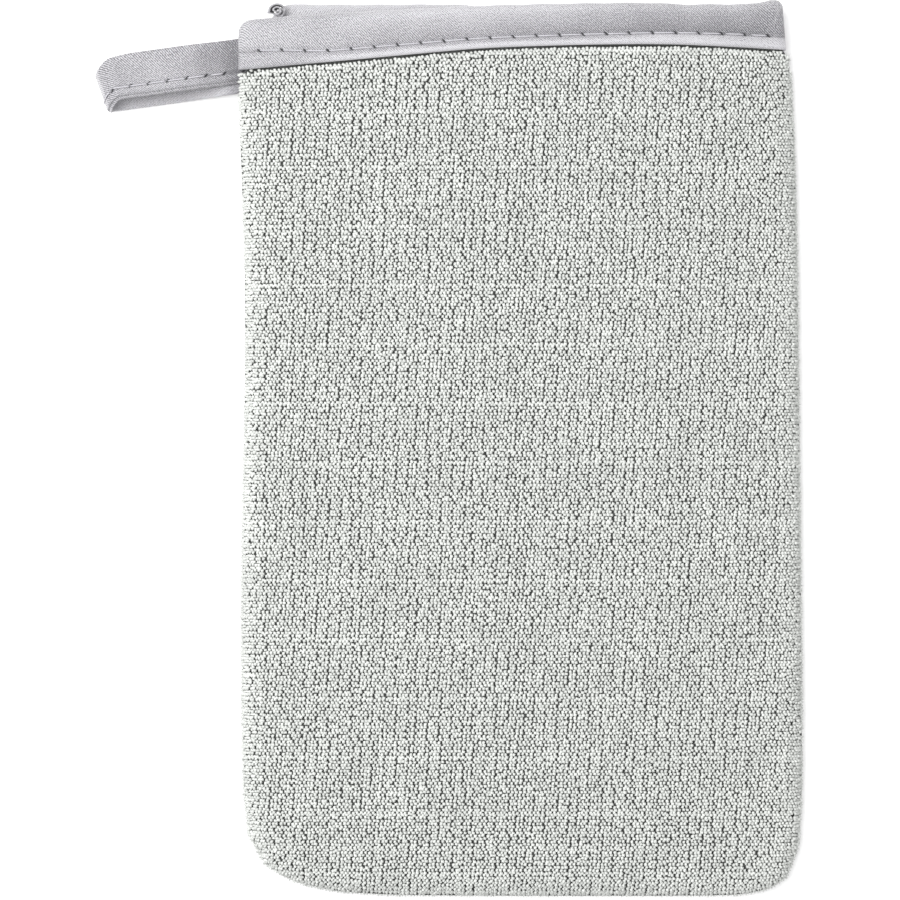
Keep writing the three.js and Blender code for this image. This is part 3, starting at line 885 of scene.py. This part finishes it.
def binding(name, side):
    lip = side["lip"]
    up = side["up"]
    over = FRONT_OVER if side is FRONT else BACK_OVER
    left = lip["left"] - over[0]
    right = lip["right"] + over[1]
    rings = []
    rows = []
    painted_light_and_shade = []
    columns = tape_columns(left, right)
    for x in columns:
        from_end = min(x - left, right - x)
        end = min(from_end / 1.6, 1)
        squeeze = 0.3 + 0.7 * math.sqrt(max(1 - (1 - end) ** 2, 0))
        filled = min(max((lip["left"] - x) / 0.3, (x - lip["right"]) / 0.3, 0), 1)
        hollow = (LIP - TAPE) * (1 - 0.93 * filled)
        top = tape_top(side, x, from_end)
        low = lip["low"](x)
        middle = lip["middle"](x)
        width = top - low
        row = stitch_height(x)
        slant = END_SLANT * smoothstep(x, right - 6, right)
        ring = []
        from_row = []
        light = []

        def put_point(below, height, sewn):
            ring.append((x + slant * (1 - below / width), low + below, middle + up * height * squeeze))
            from_row.append(below - row if sewn else FAR)
            # Painted light: the front tape takes its painted light and shade, the back tape a painted
            # highlight towards its fold
            light.append(satin_painted_light(x, below, width) if side is FRONT else 0.3 * smoothstep(below, 5.5, 7.5))

        face = np.concatenate([[0, 0.12, 0.35, 0.7], np.linspace(1.1, width - LIP, 23)])
        for below in face:
            edge = 0.45 * (1 - min(below / 0.5, 1)) ** 2
            put_point(below, LIP + swell(side, x, below) - edge, True)
        for degrees in (75, 55, 35, 15, -15, -35, -55, -75):
            turn = math.radians(degrees)
            put_point(width - LIP + LIP * math.cos(turn), LIP * math.sin(turn), True)
        inner = np.concatenate([np.linspace(width - LIP, 1.1, 12), [0.35, 0]])
        for below in inner:
            put_point(below, -(LIP + 0.6 * swell(side, x, below)), True)
        for below in np.linspace(0, width - LIP, 6):
            put_point(below, -hollow + (0.4 * (1 - filled) if 2 < below < 6 else 0), False)
        for degrees in (-60, 0, 60):
            turn = math.radians(degrees)
            put_point(width - LIP + hollow * math.cos(turn), hollow * math.sin(turn), False)
        for below in np.linspace(width - LIP, 0, 6):
            put_point(below, hollow - (0.4 * (1 - filled) if 2 < below < 6 else 0), False)
        rings.append(ring)
        rows.append(from_row)
        painted_light_and_shade.append(light)
    stitch = np.repeat((columns - FIRST_HOLE) / STITCH, len(rings[0]))
    return loft(name, rings, SATIN, list(columns - left), {
        "row": rows, "stitch": stitch, "stitch_length": np.full(len(stitch), STITCH), "painted_light_and_shade": painted_light_and_shade})


def stitch_kinds(name, length, finish):
    """One stitch: it comes out of one needle hole, lies on the cloth and goes in at the next."""
    half = length / 2 - 0.3
    path = []
    for i in range(11):
        t = i / 10 * 2 - 1
        path.append((0, half * t, 0.12 - 0.5 * abs(t) ** 6))
    return kinds_of(name, [yarn(name, path, THREAD, 8, finish)])


def binding_stitches(side, outer):
    """Sites of the stitches on the outer or the inner face of a bound edge."""
    lip = side["lip"]
    up = side["up"] if outer else -side["up"]
    first = FIRST_HOLE + STITCH / 2
    sites = []
    count = math.floor((lip["right"] - 1 - first) / STITCH + 0.5)
    for i in range(count):
        x = first + i * STITCH
        ahead = x + 0.5

        def on_row(x):
            return Vector((x, lip["low"](x) + stitch_height(x), lip["middle"](x)))

        sites.append({
            "at": on_row(x) + Vector((0, 0, up * (LIP - STITCH_DIP * 0.55))),
            "outward": (0, 0, up),
            "along": on_row(ahead) - on_row(x),
        })
    return sites


# --- hanging loop ---

ALONG = Vector((-math.cos(LOOP_ANGLE), -math.sin(LOOP_ANGLE), 0))
SIDEWAYS = Vector((-math.sin(LOOP_ANGLE), math.cos(LOOP_ANGLE), 0))


def loop_stops():
    """Middle line of the tape: out along the upper run, round the bend and back along the lower one."""
    bend = LOOP_REACH - LOOP_OPEN - LOOP_THICK / 2

    def height(r):
        return LOOP_PINCH + (LOOP_OPEN - LOOP_PINCH) * smoothstep(r, 0, LOOP_SPREAD)

    def drop(r):
        return LOOP_DROP * max(r, 0) / LOOP_REACH

    legs = 100
    turns = 28
    stops = []
    for i in range(legs):
        r = -LOOP_TAIL + (bend + LOOP_TAIL) * i / legs
        stops.append((r, height(r) - drop(r), 0, math.pi / 2))
    for i in range(turns + 1):
        turn = math.pi / 2 - math.pi * i / turns
        r = bend + LOOP_OPEN * math.cos(turn)
        shift = -LOOP_SHIFT * smoothstep(i / turns, 0, 0.6)
        stops.append((r, LOOP_OPEN * math.sin(turn) - drop(bend), shift, turn))
    for i in reversed(range(legs)):
        r = -LOOP_TAIL + (bend + LOOP_TAIL) * i / legs
        stops.append((r, -height(r) - drop(r), -LOOP_SHIFT, -math.pi / 2))
    return stops


def loop_point(stop, sideways, outwards):
    """A point of the tape; towards the bend it slants back, and its upper edge curls in."""
    r, z, shift, turn = stop
    slant = LOOP_SLANT * (LOOP_CORNER - sideways) * smoothstep(r, LOOP_REACH - LOOP_BEND, LOOP_REACH)
    curl = LOOP_CURL * max((r - LOOP_CURL_FROM) / (LOOP_REACH - LOOP_CURL_FROM), 0) ** 2
    across = sideways - curl * max(sideways / LOOP_WIDTH * 2, 0) ** 1.5
    p = LOOP_HINGE + ALONG * (r - slant + outwards * math.cos(turn)) + SIDEWAYS * across
    return p + Vector((0, shift, z + outwards * math.sin(turn)))


def loop_lengths(stops):
    middles = [loop_point(s, 0, 0) for s in stops]
    steps = [0] + [(b - a).length for a, b in zip(middles, middles[1:])]
    return np.cumsum(steps)


def loop_section(along, turn):
    """The folded tape: round on its folded edge, in two layers on the other, with a stitched groove."""
    w = LOOP_WIDTH / 2
    t = LOOP_THICK / 2
    under = LOOP_UNDER * smoothstep(turn, -1, 0.5)
    off = nearest_hole(along, LOOP_FIRST_HOLE, LOOP_STITCH)
    across = np.concatenate([[w - 0.08], np.linspace(w - 0.4, LOOP_ROW + 1.2, 8),
                             LOOP_ROW + np.array([0.8, 0.45, 0.2, 0, -0.2, -0.45, -0.8]),
                             [-w + 0.8, -w + 0.35, -w + 0.05]])
    points = []
    for facing in (1, -1):
        sewn = facing > 0 or turn > 0
        leg = []
        for s in across:
            q = s - LOOP_ROW
            groove = 0.2 * bell(q, 0.42) * (0.75 + 0.25 * bell(off, 0.6)) * sewn
            dimple = 0.15 * bell(off, 0.4) * bell(q + 0.45 * off, 0.35) * sewn
            puff = 0.1 * math.cos(math.pi * min(max((s - LOOP_ROW - 4.4) / 9, -0.5), 0.5))
            edge = 0.3 * max(1 - (w - abs(s)) / 0.4, 0) ** 2
            reach = under * smoothstep(-s, -LOOP_ROW, w) if facing < 0 else 0
            leg.append((s - reach, facing * (t + puff - groove - dimple - edge), q if sewn else FAR))
        points += leg if facing > 0 else leg[::-1]
        if facing > 0:
            # The slot between the two layers at the open edge has row 0, which paints it with the
            # needle-hole shade
            points += [(-w, 0.16, FAR), (-w + 0.45, 0.04, 0), (-w + 0.3, -0.06, 0),
                       (-w - under + 0.4, -0.1, FAR), (-w - under, -0.25, FAR)]
    points += [(w, -0.2, FAR), (w + 0.02, 0, FAR), (w, 0.2, FAR)]
    return points


def hanging_loop():
    stops = loop_stops()
    along = loop_lengths(stops)
    rings = []
    rows = []
    for stop, s in zip(stops, along):
        section = loop_section(s, stop[3])
        rings.append([loop_point(stop, a, b) for a, b, _ in section])
        rows.append([row for _, _, row in section])
    stitch = np.repeat((along - LOOP_FIRST_HOLE) / LOOP_STITCH, len(rings[0]))
    # Painted light and shade: the lower run lighter, the upper run darker, and a painted shadow where the
    # loop meets the seam
    painted_light_and_shade = [(0.1 if s[3] < 0.5 else -0.12) - 0.4 * bell(s[0] + 1, 3) for s in stops]
    painted_light_and_shade = np.repeat(painted_light_and_shade, len(rings[0]))
    return loft("hanging_loop_tape", rings, SATIN, list(along), {
        "row": rows, "stitch": stitch, "stitch_length": np.full(len(stitch), LOOP_STITCH), "painted_light_and_shade": painted_light_and_shade})


def loop_stitches(outer):
    stops = loop_stops()
    along = loop_lengths(stops)
    first = LOOP_FIRST_HOLE + LOOP_STITCH / 2
    from_seam = 8 if outer else 3  # the outer stitches of the lower run keep clear of the pile
    last = along[-1] - LOOP_TAIL - from_seam
    sites = []
    side = 1 if outer else -1
    for s in np.arange(first, last, LOOP_STITCH):
        i = int(np.searchsorted(along, s))
        turn = stops[i][3]
        sunk = 0.08 if outer or turn > 0 else 0.5
        here = loop_point(stops[i], LOOP_ROW, side * (LOOP_THICK / 2 - sunk))
        ahead = loop_point(stops[i + 1], LOOP_ROW, side * (LOOP_THICK / 2 - sunk))
        outward = (ALONG * math.cos(turn) + Vector((0, 0, math.sin(turn)))) * side
        sites.append({"at": here, "outward": outward, "along": ahead - here})
    return sites


# --- rolled tape end ---

def rolled_end():
    """The end of the back binding's tape, curled up into a small open roll that leans to the left."""
    low, high = (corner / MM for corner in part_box("binding_tape_end"))
    base = Vector((low.x + 3.2, (low.y + high.y) / 2 - 0.1, low.z + 0.2))
    axis = Vector((-0.3, 0.12, 1)) * ROLL_HEIGHT
    stations = 14
    turns = 96
    rings = []
    painted_light_and_shade = []
    painted_shade_rows = []
    for i in range(stations + 1):
        t = i / stations
        flare = 1 + 0.14 * (2 * t - 1)
        outer = []
        inner = []
        for k in range(turns + 1):
            angle = math.radians(-60 + ROLL_TURN * k / turns)
            r = 1.0 - (1.0 - ROLL_KEPT) * k / turns
            corner = 1 + 0.3 * bell(math.degrees(angle) - 208, 16) * t
            top = t * (1 - 0.25 * math.sin(angle - 0.5) ** 2)
            for line, share in ((outer, 1), (inner, 1 - ROLL_WALL / (2.3 * r))):
                x = ROLL_RADII[0] * r * share * math.cos(angle) * flare * corner
                y = ROLL_RADII[1] * r * share * math.sin(angle) * flare * corner
                line.append(base + axis * top + Vector((x, y, 0)))
        rings.append(outer + inner[::-1])
        # Painted light and shade: the outside of the roll a little lighter, the inside lighter towards its
        # top rim, and below that the inside painted dark with the needle-hole shade (row 0)
        painted_light_and_shade.append([0.1] * (turns + 1) + [0.3 * t] * (turns + 1))
        painted_shade_rows.append([FAR] * (turns + 1) + [FAR if t > 0.8 else 0] * (turns + 1))
    along = np.linspace(0, axis.length, stations + 1)
    count = (stations + 1) * (2 * turns + 2)
    return loft("binding_tape_roll", rings, SATIN, list(along), {
        "row": painted_shade_rows, "stitch": np.zeros(count), "stitch_length": np.ones(count), "painted_light_and_shade": painted_light_and_shade})


# --- seam inside the pouch ---

def seam_line(node):
    """Middle of a seam band: its corners sorted round the pouch, as points a stitch apart."""
    points, _ = node_shape(node)
    middle = np.array([CENTRE, 60.0])
    flat = points[:, :2]
    angle = np.arctan2(flat[:, 1] - middle[1], flat[:, 0] - middle[0])
    angle = np.where(angle > math.pi / 2, angle - 2 * math.pi, angle)
    order = np.argsort(angle)
    ring = []
    for chunk in np.array_split(order, 49):
        ring.append([*flat[chunk].mean(0), points[:, 2].mean()])
    return np.array(ring)


def overlock_kinds():
    """One overlock stitch: over the raw edge and back."""
    over = [(-1.6, -0.9, 0.2), (-0.6, -0.5, 0.5), (0.5, -0.15, 0.45), (0.75, 0.1, 0.0), (0.5, 0.3, -0.2),
            (-0.5, 0.6, 0.35), (-1.6, 0.9, 0.25)]
    return kinds_of("overlock_stitch", [yarn("overlock_stitch", over, OVERLOCK_THREAD, 5, OVERLOCK)])


def overlock_sites(node, up):
    line = seam_line(node)
    lengths = lengths_along(line)
    sites = []
    for s in np.arange(1, lengths[-1], OVERLOCK_STITCH_LENGTH):
        at = point_at(line, lengths, s)
        ahead = point_at(line, lengths, s + 0.5)
        sites.append({"at": Vector(at), "outward": (0, 0, up), "along": Vector(ahead - at)})
    return sites


# --- studio ---

def studio():
    camera = add("camera", bpy.data.cameras.new("camera"))
    bpy.context.scene.camera = camera
    camera.location = (0, 0, CAMERA_HEIGHT)
    camera.data.sensor_width = 36
    camera.data.lens = 36 * (CAMERA_HEIGHT - MIDDLE_HEIGHT) / VIEW_WIDTH
    camera.data.clip_start = 0.05
    floor = add("floor", bpy.data.meshes.new("floor"))
    floor.data.from_pydata([(-3, -3, 0), (3, -3, 0), (3, 3, 0), (-3, 3, 0)], [], [(0, 1, 2, 3)])
    paper, _, shader = new_finish("paper")
    shader.inputs["Base Color"].default_value = (*PAPER, 1)
    shader.inputs["Roughness"].default_value = 0.9
    shader.inputs["Emission Color"].default_value = (*WHITE, 1)
    shader.inputs["Emission Strength"].default_value = PAPER_GLOW
    floor.data.materials.append(paper)
    world = bpy.data.worlds.new("studio")
    world.use_nodes = True
    background = world.node_tree.nodes["Background"]
    background.inputs[0].default_value = (*WHITE, 1)
    seen_directly = put(world.node_tree, "ShaderNodeLightPath").outputs["Is Camera Ray"]
    strength = sums(world.node_tree, "MULTIPLY_ADD", seen_directly, SKY_SEEN, SKY_LIGHT)
    world.node_tree.links.new(strength, background.inputs[1])
    bpy.context.scene.world = world
    lamp("overhead", (-0.4, 0.2, 1.5), 1.0, 19.4)
    lamp("key", (-0.38, 0.22, 0.5), 0.35, 1.25)
    bpy.context.scene.view_settings.view_transform = "Standard"


def lamp(name, place, size, power):
    light = bpy.data.lights.new(name, "AREA")
    light.size = size
    light.energy = power
    made = add(name, light)
    made.location = place
    made.rotation_mode = "QUATERNION"
    made.rotation_quaternion = (-Vector(place)).to_track_quat("-Z", "Y")
    made.visible_camera = False


# --- the mitt ---

studio()
LOOPS = pile_loops()

front_sites, front_edge = pile_sites(FRONT, np.random.default_rng(SEED))
back_sites, back_edge = pile_sites(BACK, np.random.default_rng(SEED + 1))
front_pile = panel_pile("front_pile", front_sites, SEED)
back_pile = panel_pile("back_pile", back_sites + seam_sites(front_edge, back_edge), SEED + 50)
front_ground = ground_knit("front_ground", "front_panel", FRONT)
back_ground = ground_knit("back_ground", "back_panel", BACK)
front_tape = binding("front_tape", FRONT)
back_tape = binding("back_tape", BACK)
STITCHES = stitch_kinds("binding_stitch", STITCH, SEWING)
LOOP_STITCHES = stitch_kinds("loop_stitch", LOOP_STITCH, SEWING)

for piece in back_pile.values():
    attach(piece, "back")
for label, piece in front_pile.items():
    opens(piece)

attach(back_ground, "back")
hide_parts("back_panel")
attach(back_tape, "back")
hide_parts("back_binding")

for label, side in (("left", -1), ("right", 1)):
    ground = half_of(front_ground, f"front_ground_{label}", side)
    tape = half_of(front_tape, f"front_binding_tape_{label}", side)
    opens(ground)
    opens(tape)
    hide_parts("front_panel")
    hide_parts("front_binding")
    for outer in (True, False):
        name = "needle" if outer else "bobbin"
        sites = [s for s in binding_stitches(FRONT, outer) if (s["at"].x - CENTRE) * side >= 0]
        row = set_out(f"front_{name}_stitches_{label}", sites, STITCHES, SEWING)
        opens(row)
        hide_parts(f"front_binding_{name}_thread")
for whole in (front_ground, front_tape):
    bpy.data.objects.remove(whole)

for outer in (True, False):
    name = "needle" if outer else "bobbin"
    row = set_out(f"back_{name}_stitches", binding_stitches(BACK, outer), STITCHES, SEWING)
    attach(row, "back")
    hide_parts(f"back_binding_{name}_thread")
    row = set_out(f"loop_{name}_stitches", loop_stitches(outer), LOOP_STITCHES, SEWING)
    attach(row, "loop")
    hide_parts(f"loop_{name}_thread")

tape = hanging_loop()
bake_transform(tape)
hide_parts("hanging_loop", "loop_upper_tail", "loop_lower_tail")

roll = rolled_end()
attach(roll, "back")
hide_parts("binding_tape_end")

OVERLOCK_STITCH = overlock_kinds()
upper = overlock_sites("seam_upper_thread", 1)
for label, side in (("left", -1), ("right", 1)):
    chosen = [s for s in upper if (s["at"].x - CENTRE) * side >= 0]
    row = set_out(f"upper_overlock_{label}", chosen, OVERLOCK_STITCH, OVERLOCK)
    opens(row)
    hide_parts("seam_upper_thread")
row = set_out("lower_overlock", overlock_sites("seam_lower_thread", -1), OVERLOCK_STITCH, OVERLOCK)
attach(row, "back")
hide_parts("seam_lower_thread")
